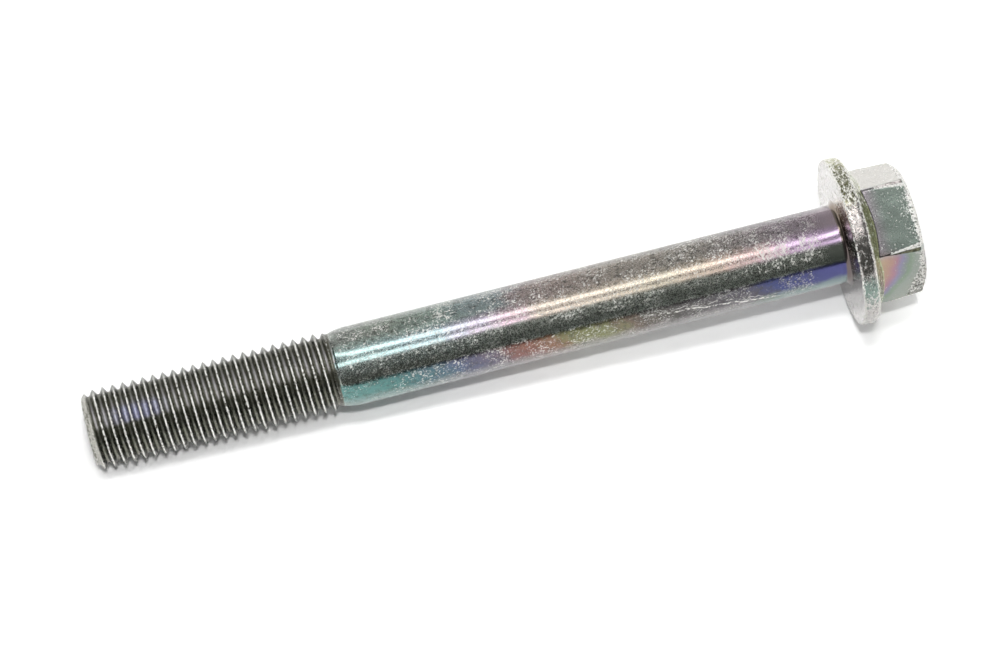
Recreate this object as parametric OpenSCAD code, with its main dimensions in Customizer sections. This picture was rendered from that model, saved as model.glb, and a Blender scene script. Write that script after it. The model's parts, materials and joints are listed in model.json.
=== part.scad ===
// Hex flange bolt: one forged and rolled steel piece, modelled standing on its head.
// The axis is Z, the flat top of the head lies on z = 0 and the thread tip points up.

/* [Head] */
// Width across the flats of the hexagon
hex_af = 17.8; // [15:0.1:20]
// Height of the head, from its flat top to the bearing face
head_h = 10.6; // [9:0.1:13]
// Diameter of the flat on top of the head, inside the chamfer
top_d = 16.9; // [13:0.1:17.2]
// Angle of the chamfer round the top of the head, in degrees
chamfer_angle = 30; // [15:1:40]
// How far the forging die rounds the corners back at the chamfer
corner_trim = 0.35; // [0.1:0.05:0.6]
// Distance from the bearing face at which the corners are full again
corner_full = 4.6; // [4:0.1:6]

/* [Flange] */
// Diameter of the flange
flange_d = 25.2; // [23:0.1:30]
// Height of the upright rim of the flange
rim_h = 2.3; // [1.6:0.1:3]
// Radius of the rounded edges of the rim
rim_round = 0.6; // [0.2:0.05:0.75]
// Slope of the flange's back, in degrees from flat
flange_slope = 24; // [10:1:28]

/* [Shank] */
// Length from the bearing face to the tip
bolt_len = 113.6; // [80:0.1:160]
// Diameter of the plain shank
shank_d = 11.7; // [11.4:0.05:13]
// Radius of the fillet under the head
head_fillet = 0.8; // [0.3:0.05:1.5]
// Length of the shoulder that rounds the shank down to the neck
shoulder_len = 2.7; // [1.5:0.1:6]
// Diameter of the neck where the thread runs out
neck_d = 10.8; // [10.2:0.05:10.95]

/* [Thread] */
// Outer diameter of the thread
thread_d = 11.7; // [11.3:0.05:12.5]
// Distance from one turn to the next
pitch = 1.5; // [1:0.25:1.75]
// Length from the neck to the tip
thread_len = 36.9; // [20:0.1:60]
// Size of the chamfer at the tip, measured along and across the axis
tip_chamfer = 0.93; // [0.6:0.01:1.2]
// Length over which the thread grows to its full height above the neck
run_out = 1.1; // [0.8:0.1:4]
// Length over which the last turn fades out in the tip's chamfer
lead_in = 0.2; // [0.1:0.1:2]
// Angle about the axis at which the helix begins and ends, in degrees from X
thread_start = 300; // [0:1:360]

/* [Hidden] */
$fn = 96;

// Flat sides round one turn of the thread
turn_sides = 36;
// Points round one quarter of a fillet or a rounded edge
arc_steps = 6;
// Length by which the threaded core is rooted in the shank, below its first turn
core_root = 1;
// Plain length left between the end of the helix and the tip
tip_land = 0.05;

// Heights on the axis
bearing_z = head_h;
tip_z = bearing_z + bolt_len;
neck_z = tip_z - thread_len;
shoulder_z = neck_z - shoulder_len;

// Head
hex_r = hex_af / 2 / cos(30);
trim_r = hex_r - corner_trim;
chamfer_z = (trim_r - top_d / 2) * tan(chamfer_angle);
full_z = bearing_z - corner_full;
hex_end_z = bearing_z - rim_h / 2;
trim_rate = corner_trim / (full_z - chamfer_z);

// Flange
flange_r = flange_d / 2;
rim_z = bearing_z - rim_h;
back_z = rim_z - flange_r * tan(flange_slope);

// Shank
shank_r = shank_d / 2;
neck_r = neck_d / 2;

// Thread form: 60 degree flanks, a crest flat of an eighth and a root flat of a quarter of the pitch
flank = pitch * 5 / 16;
thread_depth = flank / tan(30);
crest_r = thread_d / 2;
root_r = crest_r - thread_depth;
tip_r = crest_r - tip_chamfer;
form_place = [0, 1 / 4, 9 / 16, 11 / 16];
form_height = [0, 0, 1, 1];
form_points = len(form_place);
// Turns that reach from the tip past the neck, less the turn that the helix climbs. The helix
// ends at the tip, and its first turn begins inside the shank.
turns = ceil(thread_len / pitch) - 1;
last_row = form_points * turns;
helix_z = tip_z - tip_land - pitch * (turns + 1);
crest_end_z = helix_z + pitch * (turns + form_place[2]);

// Points on an arc round a centre, from one angle to another
function arc(centre, r, from, to) =
    [for (k = [0:arc_steps]) let (a = from + (to - from) * k / arc_steps) centre + r * [cos(a), sin(a)]];

// Half section of the shank: fillet under the head, plain cylinder, and a shoulder that
// falls away as a parabola to the neck
function shank_section() = concat(
    [[0, hex_end_z], [shank_r + head_fillet, hex_end_z]],
    arc([shank_r + head_fillet, bearing_z + head_fillet], head_fillet, 270, 180),
    [for (k = [0:arc_steps]) let (f = k / arc_steps)
        [shank_r - (shank_r - neck_r) * f * f, shoulder_z + shoulder_len * f]],
    [[0, neck_z]]);

// Half section of the flange: sloped back, rim with two rounded edges, flat bearing face
function flange_section() = concat(
    [[0, back_z]],
    arc([flange_r - rim_round, rim_z + rim_round * tan(45 - flange_slope / 2)],
        rim_round, flange_slope - 90, 0),
    arc([flange_r - rim_round, bearing_z - rim_round], rim_round, 0, 90),
    [[0, bearing_z]]);

// Half section that trims the hexagon: flat top, chamfer, and corners that fill out towards the flange
function trim_section() = [
    [0, 0], [top_d / 2, 0], [trim_r, chamfer_z],
    [trim_r + trim_rate * (hex_end_z - chamfer_z), hex_end_z], [0, hex_end_z]];

// Radius of the threaded core at a height, for a point of the thread form between root (0) and crest (1)
function thread_r(height, z) =
    let (grown = min(1, max(0, z - neck_z) / run_out, max(0, crest_end_z - z) / lead_in))
    min(root_r + thread_depth * height * grown, tip_r + tip_z - z);

// A point of the helix: rows follow the thread form upwards, columns go round the axis
function helix_point(row, column) =
    let (turn = floor(row / form_points), k = row % form_points, angle = 360 * column / turn_sides)
    let (z = helix_z + pitch * (turn + form_place[k] + column / turn_sides), r = thread_r(form_height[k], z))
    [r * cos(angle), r * sin(angle), z];

function ring(r, z) = [for (j = [0:turn_sides - 1]) let (a = 360 * j / turn_sides) [r * cos(a), r * sin(a), z]];

module head() {
    intersection() {
        cylinder(r = hex_r, h = hex_end_z, $fn = 6);
        rotate_extrude() polygon(trim_section());
    }
    rotate_extrude() polygon(flange_section());
}

module shank() {
    rotate_extrude() polygon(shank_section());
}

// Right-hand thread on its core, closed by a flat ring at each end. One turn along a row leads
// to the same place on the row one pitch higher.
module thread() {
    body = turn_sides;
    spare = body + (last_row + 1) * turn_sides;
    end = spare + form_points;
    points = concat(
        ring(root_r, helix_z - core_root),
        [for (i = [0:last_row], j = [0:turn_sides - 1]) helix_point(i, j)],
        [for (k = [1:form_points]) helix_point(last_row + k, 0)],
        ring(tip_r, tip_z));
    at = function (i, j) j == turn_sides ? at(i + form_points, 0)
        : i > last_row ? spare + i - last_row - 1 : body + i * turn_sides + j;
    last = turn_sides - 1;
    faces = concat(
        [[for (j = [0:last]) j]],
        [[for (j = [0:last]) end + last - j]],
        [for (i = [0:last_row - 1], j = [0:last]) each [
            [at(i, j), at(i + 1, j), at(i + 1, j + 1)],
            [at(i, j), at(i + 1, j + 1), at(i, j + 1)]]],
        [for (j = [0:last - 1]) each [
            [j, at(0, j), at(0, j + 1)],
            [j, at(0, j + 1), j + 1]]],
        [for (k = [form_points:-1:1]) [at(0, last), at(k, 0), at(k - 1, 0)]],
        [[at(0, last), at(0, 0), 0], [at(0, last), 0, last]],
        [for (j = [1:last]) each [
            [at(last_row, j), end + j, end + (j + 1) % turn_sides],
            [at(last_row, j), end + (j + 1) % turn_sides, at(last_row, j + 1)]]],
        [for (k = [1:form_points]) [at(last_row, 1), at(last_row + k - 1, 0), at(last_row + k, 0)]],
        [[at(last_row, 1), at(last_row + form_points, 0), end], [at(last_row, 1), end, end + 1]]);
    polyhedron(points, faces, convexity = 10);
}

module bolt() {
    color("#8b8d84") {
        head();
        shank();
        rotate([0, 0, thread_start]) thread();
    }
}

bolt();
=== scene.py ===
"""Looks of a scuffed, rainbow plated hex flange bolt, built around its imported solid.

The bolt stands on its head with its axis along Z. The mesh is one closed skin made of two kinds of
grid: helical rows for the thread, and level rings for everything else. Lengths are in millimetres
until the mesh is written, and in metres for the stage, the lamps and the camera.
"""

import json
import math

import bpy
import numpy as np
from mathutils import Matrix, Vector


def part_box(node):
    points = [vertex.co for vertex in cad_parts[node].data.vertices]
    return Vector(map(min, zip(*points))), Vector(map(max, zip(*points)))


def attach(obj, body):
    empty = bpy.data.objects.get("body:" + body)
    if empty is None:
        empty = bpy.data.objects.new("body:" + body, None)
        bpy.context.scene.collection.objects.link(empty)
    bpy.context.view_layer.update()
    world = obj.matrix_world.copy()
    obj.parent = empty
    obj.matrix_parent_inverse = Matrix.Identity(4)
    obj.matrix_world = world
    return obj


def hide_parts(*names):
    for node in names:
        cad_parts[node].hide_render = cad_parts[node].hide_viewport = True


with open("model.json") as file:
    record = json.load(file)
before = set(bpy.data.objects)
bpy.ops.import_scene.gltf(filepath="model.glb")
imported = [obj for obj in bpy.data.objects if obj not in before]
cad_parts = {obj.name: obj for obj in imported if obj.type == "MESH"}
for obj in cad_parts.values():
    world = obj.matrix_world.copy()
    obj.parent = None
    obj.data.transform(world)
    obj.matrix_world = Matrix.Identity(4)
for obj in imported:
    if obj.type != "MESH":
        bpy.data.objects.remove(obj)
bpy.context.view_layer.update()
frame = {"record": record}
mounts = {m["name"]: m for m in frame["record"]["mounts"]}
MM = 0.001

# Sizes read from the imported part
low_corner, high_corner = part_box("bolt")
FLANGE_R = (high_corner.x - low_corner.x) / 2 / MM
TIP_Z = high_corner.z / MM
BEARING_Z = mounts["bearing_face"]["pos_m"][2] / MM
SHANK_R = mounts["shank"]["dims"]["r_mm"]
CREST_R = mounts["thread"]["dims"]["r_mm"]
THREAD_LEN = mounts["thread"]["dims"]["length_mm"]

# Sizes that the part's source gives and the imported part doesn't state
PITCH = 1.5
NECK_R = 5.4
SHOULDER_LEN = 2.7
HEAD_FILLET = 0.8
TIP_CHAMFER = 0.93
TIP_LAND = 0.05
RUN_OUT = 1.1
THREAD_START = math.radians(300)
RIM_H = 2.3
RIM_ROUND = 0.6
FLANGE_SLOPE = math.radians(24)
HEX_APOTHEM = 8.9
TOP_R = 8.45
CHAMFER = math.radians(30)
CORNER_TRIM = 0.35
CORNER_FULL = 4.6

# Heights and radii that follow from them
NECK_Z = TIP_Z - THREAD_LEN
SHOULDER_Z = NECK_Z - SHOULDER_LEN
THREAD_DEPTH = PITCH * 5 / 16 / math.tan(math.radians(30))
ROOT_R = CREST_R - THREAD_DEPTH
TIP_R = CREST_R - TIP_CHAMFER
HEX_CORNER_R = HEX_APOTHEM / math.cos(math.radians(30))
TRIM_R = HEX_CORNER_R - CORNER_TRIM
CHAMFER_Z = (TRIM_R - TOP_R) * math.tan(CHAMFER)
FULL_Z = BEARING_Z - CORNER_FULL
RIM_Z = BEARING_Z - RIM_H
# Level rings that the thread starts and ends on, and how near a point comes before it joins them
NECK_RING_Z = NECK_Z - 0.2
TIP_RING_Z = TIP_Z - 0.13
SNAP = 0.04

# Grid sizes
STEM_SIDES = 160
HEAD_SIDES = 2 * STEM_SIDES + 16
TURNS = math.ceil(THREAD_LEN / PITCH)
HELIX_Z = TIP_Z - TIP_LAND - PITCH * TURNS

# View and stage directions: the camera stands at VIEW_TURN about the axis, and the board behind the
# bolt plays the table that it lies on in the picture
VIEW_TURN = math.radians(-100.25)
TABLE_TILT = math.radians(60)
AXIS = np.array([0.0, 0.0, 1.0])
TO_CAMERA = np.array([math.cos(VIEW_TURN), math.sin(VIEW_TURN), 0.0])
IMAGE_DOWN = np.cross(TO_CAMERA, AXIS)
TABLE_UP = math.sin(TABLE_TILT) * TO_CAMERA - math.cos(TABLE_TILT) * IMAGE_DOWN
TABLE_FRONT = math.cos(TABLE_TILT) * TO_CAMERA + math.sin(TABLE_TILT) * IMAGE_DOWN


# Numeric helpers

def smooth(x, start, end):
    """Rises from 0 at start to 1 at end along a cubic S curve."""
    t = np.clip((x - start) / (end - start), 0, 1)
    return t * t * (3 - 2 * t)


def grain(points, cell, seed):
    """Value noise between -1 and 1: random numbers on a cubic lattice of that cell, eased between them."""
    scaled = np.asarray(points) / cell + 1000.0
    base = np.floor(scaled).astype(np.int64)
    ease = scaled - base
    ease = ease * ease * (3 - 2 * ease)
    total = np.zeros(scaled.shape[:-1])
    for corner in np.ndindex(2, 2, 2):
        key = base + np.array(corner)
        mixed = key[..., 0] * 73856093 ^ key[..., 1] * 19349663 ^ key[..., 2] * 83492791 ^ seed * 26544357
        mixed = (mixed ^ (mixed >> 13)) * 1274126177 & 0xFFFFFFFF
        value = ((mixed ^ (mixed >> 16)) & 0xFFFF) / 32767.5 - 1
        weight = np.prod(np.where(np.array(corner) == 1, ease, 1 - ease), axis=-1)
        total += value * weight
    return total


def rounded(before, corner, after, reach, steps):
    """Points of a quadratic curve that rounds a corner, leaving and joining its sides at that reach."""
    back = before - corner
    on = after - corner
    start = corner + back * (reach / np.linalg.norm(back, axis=-1, keepdims=True))
    end = corner + on * (reach / np.linalg.norm(on, axis=-1, keepdims=True))
    t = np.linspace(0, 1, steps)[:, None, None]
    return (1 - t) ** 2 * start + 2 * t * (1 - t) * corner + t ** 2 * end


def straight(start, end, steps):
    """Points between two profile points, without the two themselves."""
    t = np.linspace(0, 1, steps + 2)[1:-1, None, None]
    return start + (end - start) * t


# Thread

# Places across one pitch, widths there as shares of it, and crown and hollow as shares of the depth
CREST_AT = 0.625
ROOT_AT = 0.125
CREST_HALF = 0.0625
FLANK_WIDTH = 0.3125
HOLLOW_HALF = 0.17
CROWN = 0.05
HOLLOW = 0.10
# Depth that wear takes off the crests
CREST_WEAR = 0.07
FORM_PLACE = np.array([0.02, 0.085, 0.165, 0.23, 0.30, 0.405, 0.51, 0.558,
                       0.592, 0.625, 0.658, 0.692, 0.74, 0.845, 0.95])


def thread_form(place):
    """Height of the thread, 0 at the root and 1 at the crest, across one pitch.

    A trapezium with 60 degree flanks: root flat on the first quarter, crest flat of an eighth round
    CREST_AT, and both flats eased by parabolas into a slight hollow and a slight crown.
    """
    from_crest = np.abs(place - CREST_AT)
    flank = np.clip((CREST_HALF + FLANK_WIDTH - from_crest) / FLANK_WIDTH, 0, 1)
    crown = CROWN * np.clip(1 - (from_crest / CREST_HALF) ** 2, 0, 1)
    hollow = HOLLOW * np.clip(1 - (np.abs(place - ROOT_AT) / HOLLOW_HALF) ** 2, 0, 1)
    return flank * (1 - CROWN) + crown - hollow + HOLLOW * (1 - flank) * 0.5


def thread_radius(height, z):
    """Radius at a form height: grows out of the neck, and is cut by the tip's cone."""
    grown = smooth(z, NECK_Z - 0.1, NECK_Z + RUN_OUT)
    full = ROOT_R + THREAD_DEPTH * height
    return np.minimum(NECK_R + (full - NECK_R) * grown, TIP_R + TIP_Z - z)


def thread_block():
    """Helical rows: row i climbs one pitch per turn, so its end meets the start of row i + one form.

    The first row lies wholly below the neck and the last wholly above the tip's edge, where
    thread_faces gathers them into the rings there.
    """
    form = len(FORM_PLACE)
    row, side = np.meshgrid(np.arange(-form, form * TURNS + 1), np.arange(STEM_SIDES), indexing="ij")
    place = FORM_PLACE[row % form]
    z = HELIX_Z + PITCH * (row // form + place + side / STEM_SIDES)
    turn = THREAD_START + 2 * np.pi * side / STEM_SIDES
    height = thread_form(place)
    radius = thread_radius(height, z)
    points = np.stack([radius * np.cos(turn), radius * np.sin(turn), z], axis=-1)
    worn = np.clip(grain(points, 0.55, 3) * 0.6 + grain(points, 0.22, 4) * 0.4, 0, 1)
    radius = radius - worn * CREST_WEAR * smooth(height, 0.7, 1.0)
    points[..., 0] = radius * np.cos(turn)
    points[..., 1] = radius * np.sin(turn)
    return points, np.clip(height - 0.08 * worn, 0, 1) * smooth(z, NECK_Z - 0.1, NECK_Z + 0.5)


def thread_faces(z, helix_at, neck_at, tip_at):
    """Quads and triangles between helical rows, with all that lies past an end gathered into its ring."""
    form = len(FORM_PLACE)
    rows = len(z)
    index = helix_at + np.arange(rows * STEM_SIDES).reshape(rows, STEM_SIDES)
    side = np.arange(STEM_SIDES)
    index = np.where(z < NECK_RING_Z + SNAP, neck_at + side, index)
    index = np.where(z > TIP_RING_Z - SNAP, tip_at + side, index)
    ahead = np.empty_like(index)
    ahead[:, :-1] = index[:, 1:]
    ahead[:-form, -1] = index[form:, 0]
    ahead[-form:, -1] = tip_at
    quads = np.stack([index[:-1], ahead[:-1], ahead[1:], index[1:]], axis=-1).reshape(-1, 4)
    same = quads == np.roll(quads, -1, axis=1)
    whole = quads[same.sum(axis=1) == 0]
    halved = same.sum(axis=1) == 1
    triangles = quads[halved][~same[halved]].reshape(-1, 3)
    return whole, triangles


# Rings below and above the thread

def stem_profile():
    """Radius and height of the level rings from the neck down to the fillet on the bearing face.

    The shoulder falls away as a parabola, the shank is a plain cylinder and the fillet a quarter circle.
    """
    fall = np.linspace(1, 0, 12)
    fallen = SHANK_R - (SHANK_R - NECK_R) * fall ** 2
    shoulder = np.stack([fallen, SHOULDER_Z + SHOULDER_LEN * fall], axis=-1)
    shoulder[0, 1] = NECK_RING_Z
    shank_z = np.linspace(SHOULDER_Z, BEARING_Z + HEAD_FILLET, 40)[1:-1]
    shank = np.stack([np.full_like(shank_z, SHANK_R), shank_z], axis=-1)
    sweep = np.linspace(np.pi, 1.5 * np.pi, 8)
    fillet = np.stack([SHANK_R + HEAD_FILLET * (1 + np.cos(sweep)),
                       BEARING_Z + HEAD_FILLET * (1 + np.sin(sweep))], axis=-1)
    return np.concatenate([shoulder, shank, fillet])


def tip_profile():
    """Rings from the last turn to the middle of the tip: a rounded edge and a faintly dished end."""
    return np.array([[TIP_R + 0.10, TIP_RING_Z], [TIP_R + 0.02, TIP_Z - 0.06], [TIP_R - 0.1, TIP_Z - 0.02],
                     [TIP_R - 0.3, TIP_Z], [TIP_R * 0.8, TIP_Z], [TIP_R * 0.55, TIP_Z - 0.05],
                     [TIP_R * 0.3, TIP_Z - 0.08], [TIP_R * 0.1, TIP_Z - 0.09]])


# Head

# Corners of the hexagon: width of the blend into the trim, wear of the edge, and its reach in radians
CORNER_BLEND = 0.06
CORNER_WEAR = 0.05
CORNER_REACH = 0.03
# Ring on the bearing face where the head's columns begin, and the smaller rounds of the profile
FACE_RING_R = 7.3
BASE_ROUND = 0.32
EDGE_ROUND = 0.16
TOP_ROUND = 0.2
# Depths of the rim's pits and waves, of the battered corners and chamfer, and of the uneven flats
RIM_PIT = 0.14
RIM_WAVE = 0.07
CORNER_DENT = 0.10
CHAMFER_DENT = 0.07
FLAT_WAVE = 0.012


def head_turns():
    """Angles of the head's columns, closer together at the six corners of the hexagon."""
    share = np.arange(HEAD_SIDES) * 6 / HEAD_SIDES
    return (share - 0.6 * np.sin(2 * np.pi * share) / (2 * np.pi)) * np.pi / 3


def soft_min(a, b, width):
    """Smaller of two lengths, with the step between them rounded over that width."""
    share = np.clip(0.5 + (b - a) / (2 * width), 0, 1)
    return b + (a - b) * share - width * share * (1 - share)


def hex_radius(turn, z):
    """Distance of the hexagon's wall from the axis: flats, with the corners trimmed by a slight cone."""
    from_flat = np.mod(turn, np.pi / 3) - np.pi / 6
    sharp = HEX_APOTHEM / np.cos(from_flat)
    trim = TRIM_R + (z - CHAMFER_Z) * CORNER_TRIM / (FULL_Z - CHAMFER_Z)
    at_corner = np.clip(1 - np.abs(np.abs(from_flat) - np.pi / 6) / CORNER_REACH, 0, 1)
    return soft_min(sharp, trim, CORNER_BLEND) - CORNER_WEAR * at_corner ** 2


def head_rows(turn):
    """Profile of the head for every column: bearing face, rim, flange back, hexagon, chamfer and flat top.

    Each entry is (radius, height); corners of the profile are quadratic rounds.
    """
    def at(radius, z):
        return np.stack(np.broadcast_arrays(radius + 0 * turn, z + 0 * turn), axis=-1)

    inner = at(FACE_RING_R, BEARING_Z)
    rim_top = at(FLANGE_R, BEARING_Z)
    rim_low = at(FLANGE_R, RIM_Z)
    base_r = hex_radius(turn, FULL_Z)
    base = at(base_r, RIM_Z - (FLANGE_R - base_r) * math.tan(FLANGE_SLOPE))
    edge_r = np.minimum(hex_radius(turn, CHAMFER_Z), TRIM_R)
    edge = at(edge_r, (edge_r - TOP_R) * math.tan(CHAMFER))
    top_edge = at(TOP_R, 0.0)
    centre = at(0.0, 0.0)
    wall = straight(base, edge, 26)
    wall[..., 0] = hex_radius(turn, wall[..., 1])
    base_round = rounded(rim_low, base, edge, BASE_ROUND, 6)
    edge_round = rounded(base, edge, top_edge, EDGE_ROUND, 5)
    wall = wall[2:-1]
    return np.concatenate([
        inner[None], straight(inner, rim_top, 7)[:-1],
        rounded(inner, rim_top, rim_low, RIM_ROUND, 9),
        straight(rim_top - [0, RIM_ROUND], rim_low + [0, RIM_ROUND], 7),
        rounded(rim_top, rim_low, base, RIM_ROUND, 9),
        straight(rim_low, base, 9)[2:-1],
        base_round, wall, edge_round,
        straight(edge, top_edge, 6)[1:-1],
        rounded(edge, top_edge, centre, TOP_ROUND, 4),
        straight(top_edge, centre, 7)[1:],
    ])


def head_block():
    """Head columns in space, with the battered rim and the slightly uneven hexagon as real relief.

    The second value is the wear and corner light: 1 on edges rubbed bright and on one half of each trimmed
    corner, below 0 on the other half, which the finish paints dark or pale: painted shade and highlight.
    """
    turn = head_turns()
    profile = head_rows(turn)
    radius, z = profile[..., 0], profile[..., 1]
    points = np.stack([radius * np.cos(turn), radius * np.sin(turn), z], axis=-1)
    on_rim = smooth(radius, FLANGE_R - 1.1, FLANGE_R - 0.35) * smooth(z, RIM_Z - 0.7, RIM_Z - 0.1)
    pits = np.clip(grain(points, 0.75, 11) * 0.7 + grain(points, 0.36, 12) * 0.5 - 0.05, 0, 1)
    wave = grain(points, 2.6, 13) * 0.5 + 0.5
    dent = on_rim * (RIM_PIT * pits + RIM_WAVE * wave)
    on_hex = smooth(radius, 4.0, 8.0) * (1 - smooth(z, RIM_Z - 1.4, RIM_Z - 0.8))
    from_corner = np.pi / 6 - np.abs(np.mod(turn, np.pi / 3) - np.pi / 6)
    wedge = 0.012 + 0.075 * np.clip(1 - z / FULL_Z, 0, 1)
    corner = (1 - smooth(from_corner, 0.7 * wedge, wedge)) * on_hex * (1 - smooth(z, 4.5, FULL_Z))
    chamfer = on_hex * (1 - smooth(z, 0.1, 1.0)) * smooth(radius, TOP_R - 0.5, TOP_R)
    rough = np.clip(grain(points, 0.5, 14) * 0.6 + grain(points, 0.25, 15) * 0.5, -0.2, 1)
    dent += (corner * CORNER_DENT + chamfer * CHAMFER_DENT) * np.clip(rough, 0, 1)
    dent += on_hex * smooth(z, 0.8, 1.6) * FLAT_WAVE * (grain(points, 1.7, 16) + 1)
    shrink = 1 - dent / np.maximum(radius, 1.0)
    points[..., 0] *= shrink
    points[..., 1] *= shrink
    face_edge = 1 - np.abs(BEARING_Z - 0.15 - z) / 0.26
    back_edge = 1 - np.abs(RIM_Z - 0.02 - z) / 0.36
    rim_edge = on_rim * np.clip(np.maximum(face_edge, back_edge), 0, 1)
    # Each trimmed corner is split in two halves, one counted as lit and rubbed bright, partly a painted
    # highlight, the other set below 0 for painted shade.
    corner_lit_side = np.floor(turn / (np.pi / 3)) % 2 == 0
    head_end = on_hex * (1 - smooth(z, 0.2, 1.5)) * smooth(radius, TOP_R - 0.5, TOP_R)
    worn = np.maximum(rim_edge, head_end * np.clip(1.0 - 0.8 * np.clip(rough, 0, 1), 0, 1))
    worn = np.where(corner_lit_side, np.maximum(worn, corner), worn - 0.75 * corner)
    return points, worn


# Mesh

def ring_points(profile, sides):
    """Level rings of a profile given as (radius, height) rows."""
    turn = THREAD_START + 2 * np.pi * np.arange(sides) / sides
    radius, z = profile[:, 0, None], profile[:, 1, None]
    return np.stack([radius * np.cos(turn), radius * np.sin(turn), z + 0 * turn], axis=-1)


def ring_quads(first, rows, sides):
    """Quads between rings that follow each other down the bolt, seen from outside."""
    row, side = np.meshgrid(np.arange(rows - 1), np.arange(sides), indexing="ij")
    upper = first + row * sides
    lower = upper + sides
    on = (side + 1) % sides
    return np.stack([upper + side, lower + side, lower + on, upper + on], axis=-1).reshape(-1, 4)


def bolt_mesh():
    """One closed skin: tip, thread, stem and head, joined ring to ring."""
    helix, crest = thread_block()
    tip = ring_points(tip_profile(), STEM_SIDES)
    stem = ring_points(stem_profile(), STEM_SIDES)
    head, worn = head_block()
    poles = np.array([[0, 0, tip[-1, 0, 2]], [0, 0, 0.0]])
    groups = [group.reshape(-1, 3) for group in (helix, tip, stem, head, poles)]
    helix_at, tip_at, stem_at, head_at, pole_at = np.cumsum([0] + [len(group) for group in groups[:-1]])
    points = np.concatenate(groups)
    wear = np.zeros(len(points))
    wear[helix_at:tip_at] = crest.ravel()
    wear[head_at:pole_at] = worn.ravel()

    thread, thread_ends = thread_faces(helix[..., 2], helix_at, stem_at, tip_at)
    tip_quads = ring_quads(tip_at, len(tip), STEM_SIDES)[:, ::-1]
    stem_quads = ring_quads(stem_at, len(stem), STEM_SIDES)
    head_quads = ring_quads(head_at, len(head), HEAD_SIDES)
    tip_cap = cap(stem_at - STEM_SIDES, STEM_SIDES, pole_at)
    head_cap = cap(pole_at - HEAD_SIDES, HEAD_SIDES, pole_at + 1)[:, ::-1]
    seam = zip_rings(points, head_at - STEM_SIDES, STEM_SIDES, head_at, HEAD_SIDES)
    quads = np.concatenate([thread, tip_quads, stem_quads, head_quads])
    triangles = np.concatenate([thread_ends, tip_cap, head_cap, seam])

    # Points that were gathered into a ring are left out
    kept, corners = np.unique(np.concatenate([quads.ravel(), triangles.ravel()]), return_inverse=True)
    quads, triangles = np.split(corners, [quads.size])
    return points[kept] * MM, wear[kept], quads.reshape(-1, 4), triangles.reshape(-1, 3)


def cap(ring, sides, pole):
    """Triangles from a ring to its middle point, seen from the side of the tip."""
    side = np.arange(sides)
    return np.stack([ring + side, ring + (side + 1) % sides, np.full(sides, pole)], axis=-1)


def zip_rings(points, inner, inner_count, outer, outer_count):
    """Triangles between two rings of different counts on the bearing face, advancing by angle."""
    def by_angle(first, count):
        x, y = points[first:first + count, :2].T
        turn = np.mod(np.arctan2(y, x), 2 * np.pi)
        order = np.argsort(turn)
        return first + order, turn[order]

    inner, inner_turn = by_angle(inner, inner_count)
    outer, outer_turn = by_angle(outer, outer_count)
    follow = np.searchsorted(inner_turn, outer_turn, side="right") - 1
    outer_fan = np.stack([inner[follow], outer, np.roll(outer, -1)], axis=-1)
    ahead = np.searchsorted(outer_turn, np.roll(inner_turn, -1), side="left") % outer_count
    inner_fan = np.stack([inner, outer[ahead], np.roll(inner, -1)], axis=-1)
    return np.concatenate([outer_fan, inner_fan])


def build_mesh(name, points, quads, triangles, attributes):
    """Writes vertices, faces and point attributes into a new mesh object at the origin."""
    mesh = bpy.data.meshes.new(name)
    corners = np.concatenate([quads.ravel(), triangles.ravel()])
    sizes = np.concatenate([np.full(len(quads), 4), np.full(len(triangles), 3)])
    begins = np.concatenate([[0], np.cumsum(sizes)[:-1]])
    mesh.vertices.add(len(points))
    mesh.vertices.foreach_set("co", points.astype(np.float32).ravel())
    mesh.loops.add(len(corners))
    mesh.loops.foreach_set("vertex_index", corners.astype(np.int32))
    mesh.polygons.add(len(sizes))
    mesh.polygons.foreach_set("loop_start", begins.astype(np.int32))
    mesh.polygons.foreach_set("use_smooth", np.ones(len(sizes), dtype=bool))
    mesh.update(calc_edges=True)
    for label, values in attributes.items():
        mesh.attributes.new(label, "FLOAT", "POINT").data.foreach_set("value", values.astype(np.float32))
    mesh.validate()
    made = bpy.data.objects.new(name, mesh)
    bpy.context.scene.collection.objects.link(made)
    return made


# Material helpers

def node(tree, kind, inputs=None, **settings):
    """Adds a shader node, with sockets linked or values set by input name or number."""
    made = tree.nodes.new(kind)
    for key, value in settings.items():
        setattr(made, key, value)
    for key, value in (inputs or {}).items():
        if isinstance(value, bpy.types.NodeSocket):
            tree.links.new(value, made.inputs[key])
        else:
            made.inputs[key].default_value = value
    return made


def calc(tree, operation, a, b=0.0, c=0.0, clamp=False):
    """Result of one Math node."""
    made = node(tree, "ShaderNodeMath", {0: a, 1: b, 2: c}, operation=operation, use_clamp=clamp)
    return made.outputs[0]


def band(tree, value, start, end, low=0.0, high=1.0):
    """Eased step of a value from start to end."""
    return node(tree, "ShaderNodeMapRange",
                {"Value": value, "From Min": start, "From Max": end, "To Min": low, "To Max": high},
                interpolation_type="SMOOTHSTEP").outputs[0]


def blend(tree, share, a, b):
    """Colour a, going to colour b as the share goes to 1."""
    a, b = (x if isinstance(x, bpy.types.NodeSocket) else (*x, 1.0) for x in (a, b))
    return node(tree, "ShaderNodeMix", {0: share, 6: a, 7: b}, data_type="RGBA").outputs[2]


def noise(tree, vector, scale, detail, roughness):
    """Soft fractal noise about 0.5."""
    return node(tree, "ShaderNodeTexNoise", {
        "Vector": vector, "Scale": scale, "Detail": detail, "Roughness": roughness}).outputs[0]


def ramp(tree, value, stops):
    """Colour ramp over a value, with (place, colour) stops."""
    made = node(tree, "ShaderNodeValToRGB", {0: value})
    elements = made.color_ramp.elements
    while len(elements) < len(stops):
        elements.new(1.0)
    for element, (place, colour) in zip(elements, stops):
        element.position = place
        element.color = (*colour, 1.0)
    return made.outputs[0]


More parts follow.
